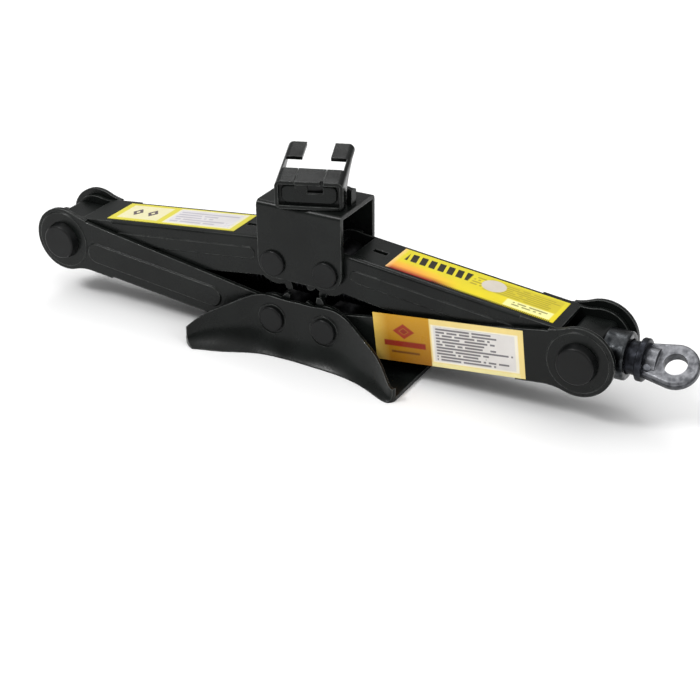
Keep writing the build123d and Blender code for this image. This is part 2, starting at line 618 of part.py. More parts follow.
def ball_cage():
    cage = ring_x(CAGE_R, RACE_BORE_R, BALL_X - CAGE_H / 2, BALL_X + CAGE_H / 2)
    for y, z in ball_centres():
        cage -= disc_x(BALL_R + RUN_FIT, BALL_X - CAGE_H, BALL_X + CAGE_H, y, PIN_Z + z)
    return cage


def side_label():
    x0, x1, v0, v1 = SIDE_LABEL
    face = make_face(Polyline((x0, v0), (x1, v0), (x1, v1), (x0, v1), (x0, v0)))
    return place_arm(slab(face, -LOWER_HALF - LABEL_H, -LOWER_HALF), False, False)


def top_label(span, left):
    x0, x1 = span
    plate = Box(x1 - x0, 2 * TOP_LABEL_HALF, LABEL_H)
    plate = Pos((x0 + x1) / 2, 0, -UPPER_WEB - LABEL_H / 2) * plate
    return place_arm(plate, True, left)


def write(name, shapes):
    """One STEP file per node; several pieces of the same fastener share a node."""
    shape = Compound(children=shapes) if isinstance(shapes, list) else shapes
    shape.label = name
    export_step(shape, os.path.join("parts", name + ".step"))


def main():
    os.makedirs("parts", exist_ok=True)
    write("base_plate", base_plate())
    for side, x in (("left", -GEAR_R), ("right", GEAR_R)):
        write("base_pin_" + side, headed_pin(BASE_BOSS_HALF, x, BASE_PIVOT_Z))
        write("base_sleeve_" + side, pivot_sleeve(LOWER_HALF - SHEET - GAP, x, BASE_PIVOT_Z))
        write("bracket_pin_" + side, headed_pin(BRACKET_HALF, x, TOP_PIVOT_Z))
        write("bracket_sleeve_" + side, pivot_sleeve(UPPER_HALF - SHEET - GAP, x, TOP_PIVOT_Z))
        write("lower_arm_" + side, lower_arm(side == "left"))
        write("upper_arm_" + side, upper_arm(side == "left"))
    write("top_bracket", top_bracket())
    write("swivel_rivet", swivel_rivet())
    write("swivel_washer", swivel_washer())
    write("load_saddle", load_saddle())
    write("nut_trunnion", trunnion(-PIN_X, NUT_LEFT, NUT_RIGHT))
    write("nut_trunnion_caps", trunnion_caps(-PIN_X))
    write("bearing_trunnion", trunnion(PIN_X, BEARING_LEFT, BEARING_RIGHT))
    write("bearing_trunnion_caps", trunnion_caps(PIN_X))
    write("lead_screw", lead_screw())
    write("screw_stop_ring", ring_x(STOP_R, SCREW_R, STOP_RING_X, STOP_RING_X + STOP_H))
    write("screw_stop_pin", disc_y(STOP_PIN_R, -STOP_PIN_HALF, STOP_PIN_HALF, STOP_PIN_X, PIN_Z))
    write("drive_eye", drive_eye())
    write("drive_eye_pin", disc_y(CROSS_PIN_R, -NECK_R, NECK_R, CROSS_PIN_X, PIN_Z))
    write("bearing_cup", bearing_cup())
    write("thrust_race_fixed", race(BALL_X - RACE_GAP / 2 - RACE_H, CUP_R - CUP_WALL))
    write("thrust_race_turning", race(BALL_X + RACE_GAP / 2, CUP_R - CUP_WALL - GAP))
    write("thrust_balls", thrust_balls())
    write("ball_cage", ball_cage())
    write("label_side", side_label())
    write("label_top_right", top_label(TOP_LABEL_RIGHT, False))
    write("label_top_left", top_label(TOP_LABEL_LEFT, True))


main()
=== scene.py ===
import json
import math

import bmesh
import bpy
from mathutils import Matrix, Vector


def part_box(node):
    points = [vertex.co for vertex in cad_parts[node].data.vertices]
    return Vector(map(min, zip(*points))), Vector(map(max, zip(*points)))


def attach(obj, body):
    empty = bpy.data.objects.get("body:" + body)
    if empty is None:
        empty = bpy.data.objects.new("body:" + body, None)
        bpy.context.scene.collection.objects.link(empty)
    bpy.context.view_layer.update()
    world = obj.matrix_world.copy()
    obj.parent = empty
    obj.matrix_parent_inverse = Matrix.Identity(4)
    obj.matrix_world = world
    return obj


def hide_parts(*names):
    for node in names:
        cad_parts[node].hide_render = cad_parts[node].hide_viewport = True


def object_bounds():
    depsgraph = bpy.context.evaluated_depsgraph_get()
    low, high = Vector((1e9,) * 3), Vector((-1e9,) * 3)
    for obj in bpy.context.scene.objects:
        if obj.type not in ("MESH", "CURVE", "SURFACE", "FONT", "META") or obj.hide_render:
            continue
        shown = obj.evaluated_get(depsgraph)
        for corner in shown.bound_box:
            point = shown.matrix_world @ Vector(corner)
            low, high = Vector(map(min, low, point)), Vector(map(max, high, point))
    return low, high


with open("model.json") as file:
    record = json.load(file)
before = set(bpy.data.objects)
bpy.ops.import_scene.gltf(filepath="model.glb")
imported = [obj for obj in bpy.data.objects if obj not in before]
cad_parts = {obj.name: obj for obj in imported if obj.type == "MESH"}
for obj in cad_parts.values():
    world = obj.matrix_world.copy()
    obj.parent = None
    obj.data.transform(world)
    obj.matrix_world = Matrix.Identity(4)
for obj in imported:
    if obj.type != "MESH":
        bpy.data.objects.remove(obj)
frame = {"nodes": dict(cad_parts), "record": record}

# Folding scissor jack. Metres, in the frame of the CAD: +X towards the drive eye, -Y the front, +Z up.

cad_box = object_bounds()
nodes = frame["nodes"]
MM = 0.001
UP = Vector((0.0, 0.0, 1.0))
FRONT_TO_BACK = Vector((0.0, 1.0, 0.0))
joint_at = {joint["name"]: Vector(joint["pos_m"]) for joint in frame["record"]["behaviour"]["joints"]}
joint_at["bracket_right"] = Vector((-joint_at["bracket_level"].x, 0.0, joint_at["bracket_level"].z))


# Node helpers

def srgb(red, green, blue):
    """Linear colour from 0-255 display values."""
    def linear(value):
        value /= 255
        return value / 12.92 if value <= 0.04045 else ((value + 0.055) / 1.055) ** 2.4
    return (linear(red), linear(green), linear(blue), 1.0)


def grey(value):
    return (value, value, value, 1.0)


def brighter(colour, factor):
    return [min(1.0, channel * factor) for channel in colour[:3]] + [1.0]


def add(tree, kind, inputs=None, **settings):
    """New node. Inputs are constants or sockets, by name or number."""
    node = tree.nodes.new(kind)
    for name, value in settings.items():
        setattr(node, name, value)
    for key, value in (inputs or {}).items():
        if isinstance(value, bpy.types.NodeSocket):
            tree.links.new(value, node.inputs[key])
        else:
            node.inputs[key].default_value = value
    return node


def calc(tree, operation, a, b=0.0):
    return add(tree, "ShaderNodeMath", {0: a, 1: b}, operation=operation).outputs[0]


def dot(tree, a, b):
    return add(tree, "ShaderNodeVectorMath", {0: a, 1: b}, operation="DOT_PRODUCT").outputs["Value"]


def remap(tree, value, low, high, to_low=0.0, to_high=1.0):
    """Clamped linear map of one number."""
    inputs = {"Value": value, "From Min": low, "From Max": high, "To Min": to_low, "To Max": to_high}
    return add(tree, "ShaderNodeMapRange", inputs).outputs[0]


def blend(tree, factor, a, b):
    """Colour a where the factor is 0, b where it is 1."""
    return add(tree, "ShaderNodeMix", {0: factor, 6: a, 7: b}, data_type="RGBA").outputs[2]


def place(tree):
    """Position on the part at rest, in metres."""
    return add(tree, "ShaderNodeTexCoord").outputs["Object"]


def noise(tree, scale, detail, stretch=None):
    """Noise with features of about 1 / scale metres."""
    vector = place(tree)
    if stretch:
        vector = add(tree, "ShaderNodeMapping", {"Vector": vector, "Scale": stretch}).outputs[0]
    return add(tree, "ShaderNodeTexNoise", {"Vector": vector, "Scale": scale, "Detail": detail}).outputs[0]


EDGE_SAMPLES = 6
EDGE_REACH = 3              # how far around an edge its openness is looked at, in bevel radii
CORNER_OPENNESS = 0.80
EDGE_OPENNESS = 0.97


def edge_mask(tree, radius, start, full):
    """1 along outside edges, 0 on open faces and in corners; also gives the rounded normal.

    start and full are the cosines between the true and the rounded normal where the mask begins and ends.
    """
    rounded = add(tree, "ShaderNodeBevel", {"Radius": radius}, samples=EDGE_SAMPLES).outputs[0]
    true = add(tree, "ShaderNodeNewGeometry").outputs["Normal"]
    same = dot(tree, rounded, true)
    reach = {"Distance": EDGE_REACH * radius}
    openness = add(tree, "ShaderNodeAmbientOcclusion", reach, samples=EDGE_SAMPLES).outputs["AO"]
    outside = remap(tree, openness, CORNER_OPENNESS, EDGE_OPENNESS)
    return calc(tree, "MULTIPLY", remap(tree, same, start, full), outside), rounded


def bump(tree, height, distance, strength, normal=None):
    inputs = {"Height": height, "Distance": distance, "Strength": strength}
    if normal is not None:
        inputs["Normal"] = normal
    return add(tree, "ShaderNodeBump", inputs).outputs[0]


def new_material(name, **constants):
    """Material with the constants set on the shader itself."""
    material = bpy.data.materials.new(name)
    material.use_nodes = True
    shader = material.node_tree.nodes["Principled BSDF"]
    for key, value in constants.items():
        shader.inputs[key.replace("_", " ")].default_value = value
    return material, material.node_tree, shader


def wire(tree, shader, **sockets):
    for key, socket in sockets.items():
        tree.links.new(socket, shader.inputs[key.replace("_", " ")])


# Paint and metals

PAINT_EDGE = (0.8 * MM, 0.985, 0.88)        # bevel radius, and the cosines where the edge wear and painted edge highlight start and are full
STEEL_EDGE = (0.4 * MM, 0.995, 0.88)
FORGED_EDGE = (0.6 * MM, 0.995, 0.88)
PAINT_PATCH_GAIN = 2.3
# Share of the lighter edge tone, which is partly worn paint and partly a painted highlight
RUB_AND_HIGHLIGHT_SHARE = 0.8
RUB_ROUGHNESS = 0.10
GRIT_ROUGHNESS = 0.08
PRIMER = grey(0.30)


def black_paint(name, body, worn, roughness):
    """Sprayed black enamel: orange peel, uneven gloss, lighter edges that are partly thin paint and partly
    a painted highlight, a few chips.
    """
    material, tree, shader = new_material(name, IOR=1.28)
    edges, rounded = edge_mask(tree, *PAINT_EDGE)
    patches = noise(tree, scale=38.0, detail=3.0)
    peel = noise(tree, scale=520.0, detail=2.0)
    sag = noise(tree, scale=55.0, detail=1.0)
    grit = noise(tree, scale=2600.0, detail=2.0)
    tone = blend(tree, remap(tree, patches, 0.35, 0.70), body, brighter(body, PAINT_PATCH_GAIN))
    thin_paint_and_highlight_spots = remap(tree, noise(tree, scale=160.0, detail=4.0), 0.30, 0.55)
    # Lighter edges: partly worn paint, partly a painted highlight along the edges
    rub_and_highlight = calc(tree, "MULTIPLY", edges, thin_paint_and_highlight_spots)
    tone = blend(tree, calc(tree, "MULTIPLY", rub_and_highlight, RUB_AND_HIGHLIGHT_SHARE), tone, worn)
    chip_spots = remap(tree, noise(tree, scale=900.0, detail=3.0), 0.66, 0.70)
    chips = calc(tree, "MULTIPLY", edges, chip_spots)
    tone = blend(tree, chips, tone, PRIMER)
    rough = remap(tree, patches, 0.25, 0.75, *roughness)
    rough = calc(tree, "ADD", rough, calc(tree, "MULTIPLY", grit, GRIT_ROUGHNESS))
    rough = calc(tree, "ADD", rough, calc(tree, "MULTIPLY", rub_and_highlight, RUB_ROUGHNESS))
    normal = bump(tree, sag, distance=0.5 * MM, strength=0.45, normal=rounded)
    normal = bump(tree, peel, distance=0.12 * MM, strength=0.30, normal=normal)
    wire(tree, shader, Base_Color=tone, Roughness=rough, Metallic=chips, Normal=normal)
    return material


# Painted highlight along the edges of bare steel: how much lighter, and how much of it
STEEL_HIGHLIGHT_GAIN = 1.5
STEEL_HIGHLIGHT_SHARE = 0.6
CUT_ROUGHNESS = 0.10


def bare_steel(name, dark, light, roughness, lines):
    """Worked steel: machining lines, mottled oxide and a painted highlight along the edges. lines stretches
    the cuts by axis.
    """
    material, tree, shader = new_material(name, Metallic=1.0)
    edges, rounded = edge_mask(tree, *STEEL_EDGE)
    oxide = noise(tree, scale=240.0, detail=4.0)
    cuts = noise(tree, scale=900.0, detail=2.0, stretch=lines)
    tone = blend(tree, remap(tree, oxide, 0.35, 0.68), dark, light)
    # Painted highlight: the steel's colour is lightened along the edges
    painted_edge_highlight = calc(tree, "MULTIPLY", edges, STEEL_HIGHLIGHT_SHARE)
    tone = blend(tree, painted_edge_highlight, tone, brighter(light, STEEL_HIGHLIGHT_GAIN))
    smooth, coarse = roughness
    rough = remap(tree, oxide, 0.30, 0.70, coarse, smooth)
    rough = calc(tree, "ADD", rough, remap(tree, cuts, 0.3, 0.7, 0.0, CUT_ROUGHNESS))
    normal = bump(tree, cuts, distance=0.05 * MM, strength=0.35, normal=rounded)
    wire(tree, shader, Base_Color=tone, Roughness=rough, Normal=normal)
    return material


EYE_TILT = math.radians(35.0)               # of the eye's flat plate, about the screw
EYE_FLAT = Vector((0.0, -math.sin(EYE_TILT), math.cos(EYE_TILT)))
EYE_LENGTH = 26.0 * MM                      # from the neck to the far end of the eye
WEAR_BEFORE_EYE = 1.5 * MM
WEAR_INTO_EYE = 2.5 * MM
WEAR_ON_SIDES = 0.25
FORGED_EDGE_SHARE = 0.7


def forged_eye_steel(name):
    """Forged and blackened at the flange and neck, worn to grey metal on the flats of the eye."""
    material, tree, shader = new_material(name, Metallic=0.9)
    edges, rounded = edge_mask(tree, *FORGED_EDGE)
    along = add(tree, "ShaderNodeSeparateXYZ", {0: place(tree)}).outputs[0]
    eye_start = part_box("drive_eye")[1].x - EYE_LENGTH
    worn = remap(tree, along, eye_start - WEAR_BEFORE_EYE, eye_start + WEAR_INTO_EYE)
    facing = dot(tree, add(tree, "ShaderNodeTexCoord").outputs["Normal"], EYE_FLAT)
    flatness = remap(tree, calc(tree, "ABSOLUTE", facing), 0.35, 0.85, WEAR_ON_SIDES, 1.0)
    worn = calc(tree, "MULTIPLY", worn, flatness)
    scale_skin = noise(tree, scale=300.0, detail=5.0)
    dark = blend(tree, remap(tree, scale_skin, 0.35, 0.65), srgb(19, 20, 24), srgb(48, 50, 56))
    light = blend(tree, remap(tree, scale_skin, 0.35, 0.65), srgb(92, 93, 97), srgb(146, 147, 151))
    tone = blend(tree, worn, dark, light)
    tone = blend(tree, calc(tree, "MULTIPLY", edges, FORGED_EDGE_SHARE), tone, srgb(182, 184, 190))
    rough = remap(tree, scale_skin, 0.3, 0.7, 0.52, 0.32)
    normal = bump(tree, scale_skin, distance=0.35 * MM, strength=0.45, normal=rounded)
    pits = noise(tree, scale=1500.0, detail=2.0)
    normal = bump(tree, pits, distance=0.05 * MM, strength=0.3, normal=normal)
    wire(tree, shader, Base_Color=tone, Roughness=rough, Normal=normal)
    return material


# Printed labels: generic blocks and lines, no lettering

SOFT_EDGE = 0.004           # half width of a printed edge, as a share of the label's length
SOFT_ACROSS = 3             # the same edge across the label, which is narrower
OVAL_EDGE = 0.08
RING_EDGE = 0.1
DASHES_LEFT_OUT = 0.16


class Sheet:
    """Print on a label.

    s runs along +X from 0 to 1, and t runs across from the lower or front edge to the other.
    An area is its low and high s, then its low and high t.
    """

    def __init__(self, name, node, along, across, ground=None):
        film = {"IOR": 1.26, "Coat_Weight": 0.06, "Coat_Roughness": 0.22}
        self.material, self.tree, self.shader = new_material(name, **film)
        self.s = self.axis(node, along)
        self.t = self.axis(node, across)
        self.colour = ground

    def axis(self, node, direction):
        reach = [vertex.co.dot(direction) for vertex in nodes[node].data.vertices]
        return remap(self.tree, dot(self.tree, place(self.tree), direction), min(reach), max(reach))

    def both(self, first, second):
        """Where both masks are on."""
        return calc(self.tree, "MULTIPLY", first, second)

    def within(self, value, low, high, soft):
        """On from low to high, with soft ends."""
        rise = remap(self.tree, value, low - soft, low + soft)
        fall = remap(self.tree, value, high - soft, high + soft, 1.0, 0.0)
        return self.both(rise, fall)

    def box(self, s0, s1, t0, t1):
        along = self.within(self.s, s0, s1, SOFT_EDGE)
        return self.both(along, self.within(self.t, t0, t1, SOFT_EDGE * SOFT_ACROSS))

    def fade(self, value, full, gone, strength=1.0):
        """The strength up to full, then down to nothing at gone."""
        return remap(self.tree, value, full, gone, strength, 0.0)

    def distance(self, value, centre, half, power):
        """Distance from the centre in half widths, raised to the power."""
        offset = calc(self.tree, "SUBTRACT", value, centre)
        share = calc(self.tree, "ABSOLUTE", calc(self.tree, "MULTIPLY", offset, 1 / half))
        return calc(self.tree, "POWER", share, power)

    def oval(self, s, t, half_s, half_t, power=2.0, inner=0.0):
        """Filled oval, or a diamond with a power of 1; inner above 0 leaves a ring."""
        along = self.distance(self.s, s, half_s, power)
        across = self.distance(self.t, t, half_t, power)
        size = calc(self.tree, "ADD", along, across)
        mask = self.fade(size, 1 - OVAL_EDGE, 1 + OVAL_EDGE)
        if inner:
            hollow = remap(self.tree, size, inner * (1 - RING_EDGE), inner * (1 + RING_EDGE))
            mask = self.both(mask, hollow)
        return mask

    def rows(self, area, count, fill, ragged, dash):
        """Rows of dashes with uneven lengths, like set lines seen from afar."""
        tree = self.tree
        run = remap(tree, self.t, area[2], area[3], 0.0, count)
        row = calc(tree, "FLOOR", run)
        ink = calc(tree, "LESS_THAN", calc(tree, "FRACT", run), fill)
        end = add(tree, "ShaderNodeTexWhiteNoise", {"W": row}, noise_dimensions="1D").outputs["Value"]
        limit = calc(tree, "SUBTRACT", area[1], calc(tree, "MULTIPLY", end, ragged))
        ink = self.both(ink, calc(tree, "LESS_THAN", self.s, limit))
        cell = calc(tree, "FLOOR", calc(tree, "MULTIPLY", self.s, dash))
        spot = add(tree, "ShaderNodeCombineXYZ", {0: cell, 1: row}).outputs[0]
        gap = add(tree, "ShaderNodeTexWhiteNoise", {"Vector": spot}, noise_dimensions="2D").outputs["Value"]
        ink = self.both(ink, calc(tree, "GREATER_THAN", gap, DASHES_LEFT_OUT))
        return self.both(ink, self.box(*area))

    def blocks(self, area, count, fill, slant):
        """Row of slanted blocks."""
        tree = self.tree
        lean = calc(tree, "ADD", self.s, calc(tree, "MULTIPLY", self.t, slant))
        run = calc(tree, "FRACT", calc(tree, "MULTIPLY", lean, count / (area[1] - area[0])))
        return self.both(calc(tree, "LESS_THAN", run, fill), self.box(*area))

    def paint(self, mask, colour, strength=1.0):
        if strength < 1.0:
            mask = self.both(mask, strength)
        self.colour = blend(self.tree, mask, self.colour, colour)

    def finish(self):
        """Faint print grain, handling marks and a slightly uneven film."""
        tree = self.tree
        grain = noise(tree, scale=1800.0, detail=2.0)
        marks = noise(tree, scale=90.0, detail=4.0)
        tone = blend(tree, remap(tree, marks, 0.35, 0.75, 0.0, 0.12), self.colour, srgb(104, 92, 58))
        tone = blend(tree, remap(tree, grain, 0.3, 0.7, 0.0, 0.02), tone, grey(0.9))
        rough = remap(tree, marks, 0.3, 0.7, 0.26, 0.42)
        waves = noise(tree, scale=140.0, detail=2.0)
        normal = bump(tree, waves, distance=0.12 * MM, strength=0.35)
        wire(tree, self.shader, Base_Color=tone, Roughness=rough, Normal=normal)
        return self.material


def arm_direction(pivot, eye):
    """Along an arm, from its pivot to its eye, between the joints of those names."""
    return (joint_at[eye] - joint_at[pivot]).normalized()


def side_label_print():
    """Amber field with a diamond and two bars, then a cream border around a pale panel of lines."""
    border = (0.385, 1.01, -0.1, 1.1)
    border_foot = (0.385, 0.97, -0.1, 0.085)
    panel_edge = (0.395, 0.965, 0.10, 0.885)
    panel = (0.41, 0.945, 0.125, 0.86)
    lines = (0.425, 0.93, 0.15, 0.85)
    bar = (0.065, 0.35, 0.33, 0.45)
    thin_bar = (0.11, 0.305, 0.19, 0.235)
    centre = (0.205, 0.66)
    red = srgb(138, 34, 12)
    along = arm_direction("fold_lower_right", "fold_upper_right")
    sheet = Sheet("label side", "label_side", along, UP - along * along.dot(UP))
    sheet.colour = blend(sheet.tree, sheet.t, srgb(148, 95, 5), srgb(199, 145, 18))
    sheet.paint(sheet.fade(sheet.s, 0.0, 0.10, strength=0.6), srgb(240, 212, 110))
    sheet.paint(sheet.box(*border), srgb(238, 214, 138))
    sheet.paint(sheet.box(*border_foot), srgb(236, 224, 160))
    sheet.paint(sheet.box(*panel_edge), srgb(240, 234, 214))
    sheet.paint(sheet.box(*panel), srgb(220, 216, 212))
    sheet.paint(sheet.rows(lines, count=11, fill=0.60, ragged=0.20, dash=60), srgb(84, 82, 88), 0.85)
    sheet.paint(sheet.box(*bar), red)
    sheet.paint(sheet.oval(*centre, half_s=0.075, half_t=0.16, power=1.0, inner=0.45), srgb(152, 44, 14))
    sheet.paint(sheet.oval(*centre, half_s=0.030, half_t=0.065, power=1.0), red)
    sheet.paint(sheet.box(*thin_bar), srgb(104, 60, 12))
    return sheet.finish()


def right_top_print():
    """Yellow field with a warm corner, a row of blocks, an oval and two groups of lines."""
    text_field = (0.54, 0.975, 0.38, 0.93)
    text_lines = (0.55, 0.965, 0.42, 0.90)
    note_field = (0.70, 0.97, 0.06, 0.36)
    note_lines = (0.74, 0.95, 0.16, 0.34)
    block_row = (0.05, 0.44, 0.52, 0.86)
    short_lines = (0.46, 0.54, 0.46, 0.88)
    tick_row = (0.28, 0.98, -0.05, 0.045)
    along = arm_direction("bracket_right", "fold_upper_right")
    sheet = Sheet("label top right", "label_top_right", along, FRONT_TO_BACK)
    sheet.colour = blend(sheet.tree, sheet.t, srgb(228, 208, 22), srgb(216, 204, 40))
    sheet.paint(sheet.box(*text_field), srgb(204, 188, 38))
    sheet.paint(sheet.rows(text_lines, count=6, fill=0.5, ragged=0.06, dash=46), srgb(150, 136, 28), 0.6)
    sheet.paint(sheet.box(*note_field), srgb(240, 236, 160))
    sheet.paint(sheet.rows(note_lines, count=2, fill=0.55, ragged=0.06, dash=60), srgb(84, 78, 40), 0.75)
    warm = sheet.both(sheet.fade(sheet.s, 0.18, 0.44), sheet.fade(sheet.t, 0.22, 0.46))
    sheet.paint(warm, srgb(250, 170, 62))
    ember = sheet.both(sheet.fade(sheet.s, 0.30, 0.44), sheet.fade(sheet.t, 0.02, 0.20))
    sheet.paint(ember, srgb(150, 34, 18))
    sheet.paint(sheet.fade(sheet.s, 0.0, 0.03, strength=0.8), srgb(250, 206, 140))
    sheet.paint(sheet.blocks(block_row, count=7, fill=0.68, slant=0.05), srgb(30, 27, 6))
    sheet.paint(sheet.rows(short_lines, count=4, fill=0.55, ragged=0.02, dash=70), srgb(160, 142, 34), 0.8)
    sheet.paint(sheet.oval(0.585, 0.66, half_s=0.070, half_t=0.25), srgb(206, 198, 186))
    sheet.paint(sheet.blocks(tick_row, count=64, fill=0.55, slant=0.0), srgb(44, 42, 12))
    return sheet.finish()


def left_top_print():
    """Yellow border around a cream field with two diamonds and a pale panel of lines."""
    mark_field = (0.05, 0.375, 0.12, 0.90)
    panel_edge = (0.425, 0.955, 0.08, 0.95)
    panel = (0.44, 0.93, 0.14, 0.90)
    lines = (0.46, 0.91, 0.20, 0.86)
    diamonds_at = (0.15, 0.27)
    along = -arm_direction("bracket_level", "fold_upper_left")
    sheet = Sheet("label top left", "label_top_left", along, FRONT_TO_BACK, ground=srgb(216, 206, 70))
    sheet.paint(sheet.box(*mark_field), srgb(228, 222, 178))
    sheet.paint(sheet.box(*panel_edge), srgb(228, 224, 194))
    sheet.paint(sheet.box(*panel), srgb(216, 213, 214))
    sheet.paint(sheet.rows(lines, count=5, fill=0.5, ragged=0.18, dash=50), srgb(168, 164, 176), 0.7)
    for s in diamonds_at:
        diamond = sheet.oval(s, 0.52, half_s=0.040, half_t=0.20, power=1.0, inner=0.35)
        sheet.paint(diamond, srgb(96, 86, 90))
    return sheet.finish()


# Rolled thread in place of the plain rod

THREAD_PITCH = 3.0 * MM
THREAD_DEPTH = 1.4 * MM
ROOT_END = 0.30             # shares of the pitch: end of the root flat, start and end of the crest flat
CREST_START = 0.5
CREST_END = 0.78
PROFILE_BENDS = (0.0, ROOT_END, CREST_START, CREST_END)
THREAD_SIDES = 40
THREAD_TO_BEARING = 4.0 * MM
THREAD_RUN_IN = 2.5 * MM
SCREW_CLEARANCE = 0.03 * MM
SCREW_CHAMFER = 0.3 * MM
JOURNAL_RISE = 1.0 * MM
TAIL_RADIUS = 5.0 * MM
TAIL_PAST_PIN = 0.7 * MM
SHOULDER_SETBACK = 0.5 * MM
WELD = 1e-7


def thread_radius(phase, root, crest):
    """Trapezoid thread: root flat, flank, crest flat, flank."""
    if phase < ROOT_END:
        return root
    if phase < CREST_START:
        return root + (crest - root) * (phase - ROOT_END) / (CREST_START - ROOT_END)
    if phase < CREST_END:
        return crest
    return crest - (crest - root) * (phase - CREST_END) / (1 - CREST_END)


def ring_point(x, side, radius, axis_z):
    angle = 2 * math.pi * side / THREAD_SIDES
    return (x, radius * math.cos(angle), axis_z + radius * math.sin(angle))


def thread_rows(mesh, start, end, root, crest, axis_z):
    """Helical rows of vertices, one at each bend of the thread's profile, cut off at both ends."""
    tip = root - SCREW_CHAMFER
    turns = math.ceil((end - start) / THREAD_PITCH) + 2
    rows = []
    for turn in range(-1, turns):
        for bend in PROFILE_BENDS:
            row = []
            for side in range(THREAD_SIDES):
                x = start + THREAD_PITCH * (turn + bend + side / THREAD_SIDES)
                x = min(max(x, start), end)
                phase = ((x - start) / THREAD_PITCH - side / THREAD_SIDES) % 1.0
                full = thread_radius(phase, root, crest)
                radius = tip + (full - tip) * min(1.0, (x - start) / THREAD_RUN_IN)
                row.append(mesh.verts.new(ring_point(x, side, radius, axis_z)))
            rows.append(row)
    return rows


def skin_thread(mesh, rows):
    """Faces between the rows. The last side of a row meets the first side of the row one turn on."""
    per_turn = len(PROFILE_BENDS)
    for index in range(len(rows) - 1):
        for side in range(THREAD_SIDES):
            near = rows[index][side], rows[index + 1][side]
            if side < THREAD_SIDES - 1:
                far = rows[index][side + 1], rows[index + 1][side + 1]
            elif index + per_turn + 1 < len(rows):
                far = rows[index + per_turn][0], rows[index + per_turn + 1][0]
            else:
                continue
            mesh.faces.new((near[0], far[0], far[1], near[1]))


def add_journal(mesh, end, root, crest, axis_z):
    """Plain journal and tail, as closed rings that go on from the end of the thread."""
    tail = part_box("drive_eye_pin")[1].x + TAIL_PAST_PIN
    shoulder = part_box("thrust_race_turning")[1].x - SHOULDER_SETBACK
    steps = [
        (end, root),
        (end + JOURNAL_RISE, crest),
        (shoulder - SCREW_CHAMFER, crest),
        (shoulder, crest - SCREW_CHAMFER),
        (shoulder, TAIL_RADIUS),
        (tail - SCREW_CHAMFER, TAIL_RADIUS),
        (tail, TAIL_RADIUS - SCREW_CHAMFER),
    ]
    rings = []
    for x, radius in steps:
        rings.append([mesh.verts.new(ring_point(x, side, radius, axis_z)) for side in range(THREAD_SIDES)])
    for near, far in zip(rings, rings[1:]):
        for side in range(THREAD_SIDES):
            after = (side + 1) % THREAD_SIDES
            mesh.faces.new((near[side], near[after], far[after], far[side]))


def threaded_screw():
    """Lead screw with its helical thread, a plain journal at the bearing and the turned tail."""
    low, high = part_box("lead_screw")
    axis_z = (low.z + high.z) / 2
    crest = (high.z - low.z) / 2 - SCREW_CLEARANCE
    root = crest - THREAD_DEPTH
    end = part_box("bearing_trunnion")[0].x - THREAD_TO_BEARING
    mesh = bmesh.new()
    rows = thread_rows(mesh, low.x, end, root, crest, axis_z)
    skin_thread(mesh, rows)
    bmesh.ops.remove_doubles(mesh, verts=mesh.verts, dist=WELD)
    bmesh.ops.dissolve_degenerate(mesh, dist=WELD, edges=mesh.edges)
    add_journal(mesh, end, root, crest, axis_z)
    loose = [edge for edge in mesh.edges if edge.is_boundary]
    bmesh.ops.holes_fill(mesh, edges=loose, sides=0)
    bmesh.ops.recalc_face_normals(mesh, faces=mesh.faces)
    data = bpy.data.meshes.new("screw_thread")
    mesh.to_mesh(data)
    mesh.free()
    screw = bpy.data.objects.new("screw_thread", data)
    bpy.context.scene.collection.objects.link(screw)
    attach(screw, "screw")
    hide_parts("lead_screw")
    return screw


# Finishes for the parts. Roughness is its smoothest and its coarsest value.

# worn is the lighter edge tone: partly worn paint, partly a painted highlight along the edges
paint = black_paint(
    "black paint", body=srgb(11, 13, 12), worn=srgb(104, 106, 104), roughness=(0.14, 0.32))
pin_paint = black_paint(
    "black paint on rivets", body=srgb(10, 11, 11), worn=srgb(112, 112, 110), roughness=(0.20, 0.34))
# Swivel rivet and washer inside the saddle: the darker body and edge colours are painted shade for the
# shaded interior; the dull gloss is the roughness
shade_darkened_paint = black_paint(
    "black paint, dull, painted shade", body=srgb(8, 9, 9), worn=srgb(40, 40, 40), roughness=(0.55, 0.70))
inner_steel = bare_steel(
    "oiled steel", dark=srgb(30, 31, 32), light=srgb(58, 58, 60), roughness=(0.34, 0.52),
    lines=(1.0, 14.0, 14.0))
thread_steel = bare_steel(
    "rolled thread steel", dark=srgb(38, 39, 42), light=srgb(84, 85, 90), roughness=(0.26, 0.44),
    lines=(1.0, 5.0, 5.0))
race_steel = bare_steel(
    "ground steel", dark=srgb(96, 98, 104), light=srgb(150, 152, 158), roughness=(0.18, 0.32),
    lines=(20.0, 1.0, 1.0))
cup_steel = bare_steel(
    "zinc plated steel", dark=srgb(22, 24, 26), light=srgb(74, 76, 78), roughness=(0.16, 0.34),
    lines=(26.0, 1.0, 1.0))

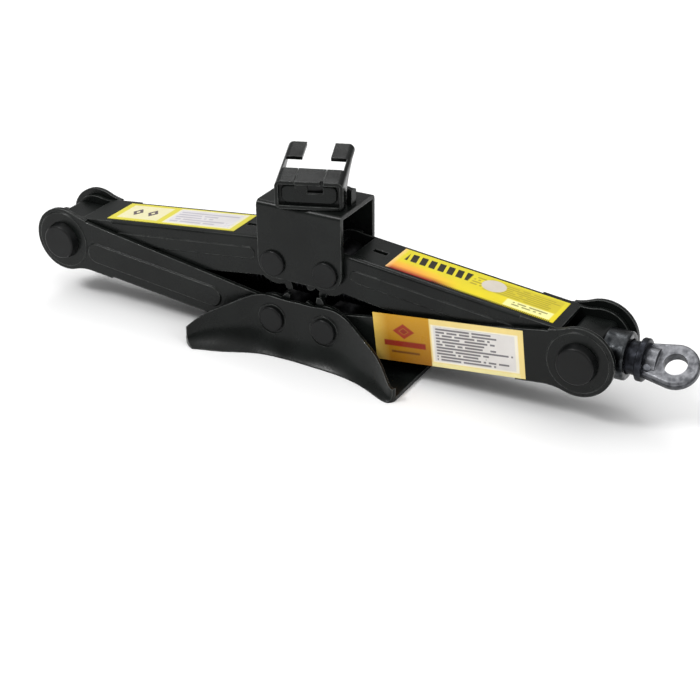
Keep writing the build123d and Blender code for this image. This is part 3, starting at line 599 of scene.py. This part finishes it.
finishes = {
    "base_plate": paint,
    "lower_arm_left": paint,
    "lower_arm_right": paint,
    "upper_arm_left": paint,
    "upper_arm_right": paint,
    "top_bracket": paint,
    "load_saddle": paint,
    "nut_trunnion": paint,
    "bearing_trunnion": paint,
    "nut_trunnion_caps": pin_paint,
    "bearing_trunnion_caps": pin_paint,
    "base_pin_left": pin_paint,
    "base_pin_right": pin_paint,
    "bracket_pin_left": pin_paint,
    "bracket_pin_right": pin_paint,
    "swivel_rivet": shade_darkened_paint,
    "swivel_washer": shade_darkened_paint,
    "base_sleeve_left": inner_steel,
    "base_sleeve_right": inner_steel,
    "bracket_sleeve_left": inner_steel,
    "bracket_sleeve_right": inner_steel,
    "screw_stop_ring": inner_steel,
    "screw_stop_pin": inner_steel,
    "thrust_race_fixed": race_steel,
    "thrust_race_turning": race_steel,
    "thrust_balls": race_steel,
    "ball_cage": race_steel,
    "bearing_cup": cup_steel,
    "drive_eye": forged_eye_steel("forged steel"),
    "drive_eye_pin": race_steel,
    "label_side": side_label_print(),
    "label_top_right": right_top_print(),
    "label_top_left": left_top_print(),
}
for name, finish in finishes.items():
    slots = nodes[name].data.materials
    slots.clear()
    slots.append(finish)
screw = threaded_screw()
screw.data.materials.append(thread_steel)


# Camera at the photograph's viewing angle

AZIMUTH = math.radians(29.14)
ELEVATION = math.radians(28.29)
ROLL = math.radians(-0.50)
TARGET = Vector((0.02098, 0.0, -0.00107))
DISTANCE = 0.87823
LENS = 78.86
SENSOR_WIDTH = 36.0

camera_data = bpy.data.cameras.new("camera")
camera_data.lens = LENS
camera_data.sensor_width = SENSOR_WIDTH
camera = bpy.data.objects.new("camera", camera_data)
bpy.context.scene.collection.objects.link(camera)
towards = Vector((
    math.sin(AZIMUTH) * math.cos(ELEVATION),
    -math.cos(AZIMUTH) * math.cos(ELEVATION),
    math.sin(ELEVATION),
))
camera.location = TARGET + towards * DISTANCE
camera.rotation_euler = (-towards).to_track_quat("-Z", "Y").to_euler()
camera.rotation_euler.rotate_axis("Z", ROLL)
bpy.context.scene.camera = camera


# Pale floor and soft studio light

FLOOR_HALF = 6.0
FLOOR_DROP = 0.2 * MM
SKY_LOW = (0.45, 0.30)      # height of a direction above the horizon, and the brightness there
SKY_HIGH = (0.95, 1.30)
SOFTBOXES = {               # place, size and power in watts
    "key": ((-0.82, -0.95, 1.43), (0.5, 0.4), 15),
    "side": ((1.5, -0.5, 0.9), (0.7, 1.0), 6),
    "back": ((-0.58, 0.86, 1.47), (0.6, 0.4), 5),
}


def studio_floor():
    data = bpy.data.meshes.new("floor")
    height = cad_box[0][2] - FLOOR_DROP
    signs = ((-1, -1), (1, -1), (1, 1), (-1, 1))
    corners = [(x * FLOOR_HALF, y * FLOOR_HALF, height) for x, y in signs]
    data.from_pydata(corners, [], [(0, 1, 2, 3)])
    floor = bpy.data.objects.new("floor", data)
    bpy.context.scene.collection.objects.link(floor)
    material, tree, shader = new_material("white floor", Roughness=0.9, Specular_IOR_Level=0.1)
    clouds = remap(tree, noise(tree, scale=3.0, detail=1.0), 0.3, 0.7)
    wire(tree, shader, Base_Color=blend(tree, clouds, grey(0.93), grey(0.95)))
    data.materials.append(material)


def studio_world():
    """White above, darker at the horizon, so that metal has something to reflect."""
    world = bpy.data.worlds.new("studio")
    world.use_nodes = True
    tree = world.node_tree
    direction = add(tree, "ShaderNodeTexCoord").outputs["Generated"]
    height = add(tree, "ShaderNodeSeparateXYZ", {0: direction}).outputs[2]
    glow = remap(tree, height, SKY_LOW[0], SKY_HIGH[0], SKY_LOW[1], SKY_HIGH[1])
    tree.links.new(glow, tree.nodes["Background"].inputs["Strength"])
    tree.nodes["Background"].inputs["Color"].default_value = grey(1.0)
    bpy.context.scene.world = world


def softbox(name, place_at, size, power):
    """Rectangular light that faces the middle of the part's foot."""
    data = bpy.data.lights.new(name, "AREA")
    data.shape = "RECTANGLE"
    data.size, data.size_y = size
    data.energy = power
    lamp = bpy.data.objects.new(name, data)
    lamp.location = place_at
    lamp.rotation_euler = (-Vector(place_at)).to_track_quat("-Z", "Y").to_euler()
    bpy.context.scene.collection.objects.link(lamp)


studio_floor()
studio_world()
for name, (place_at, size, power) in SOFTBOXES.items():
    softbox(name, place_at, size, power)
bpy.context.scene.view_settings.view_transform = "Standard"
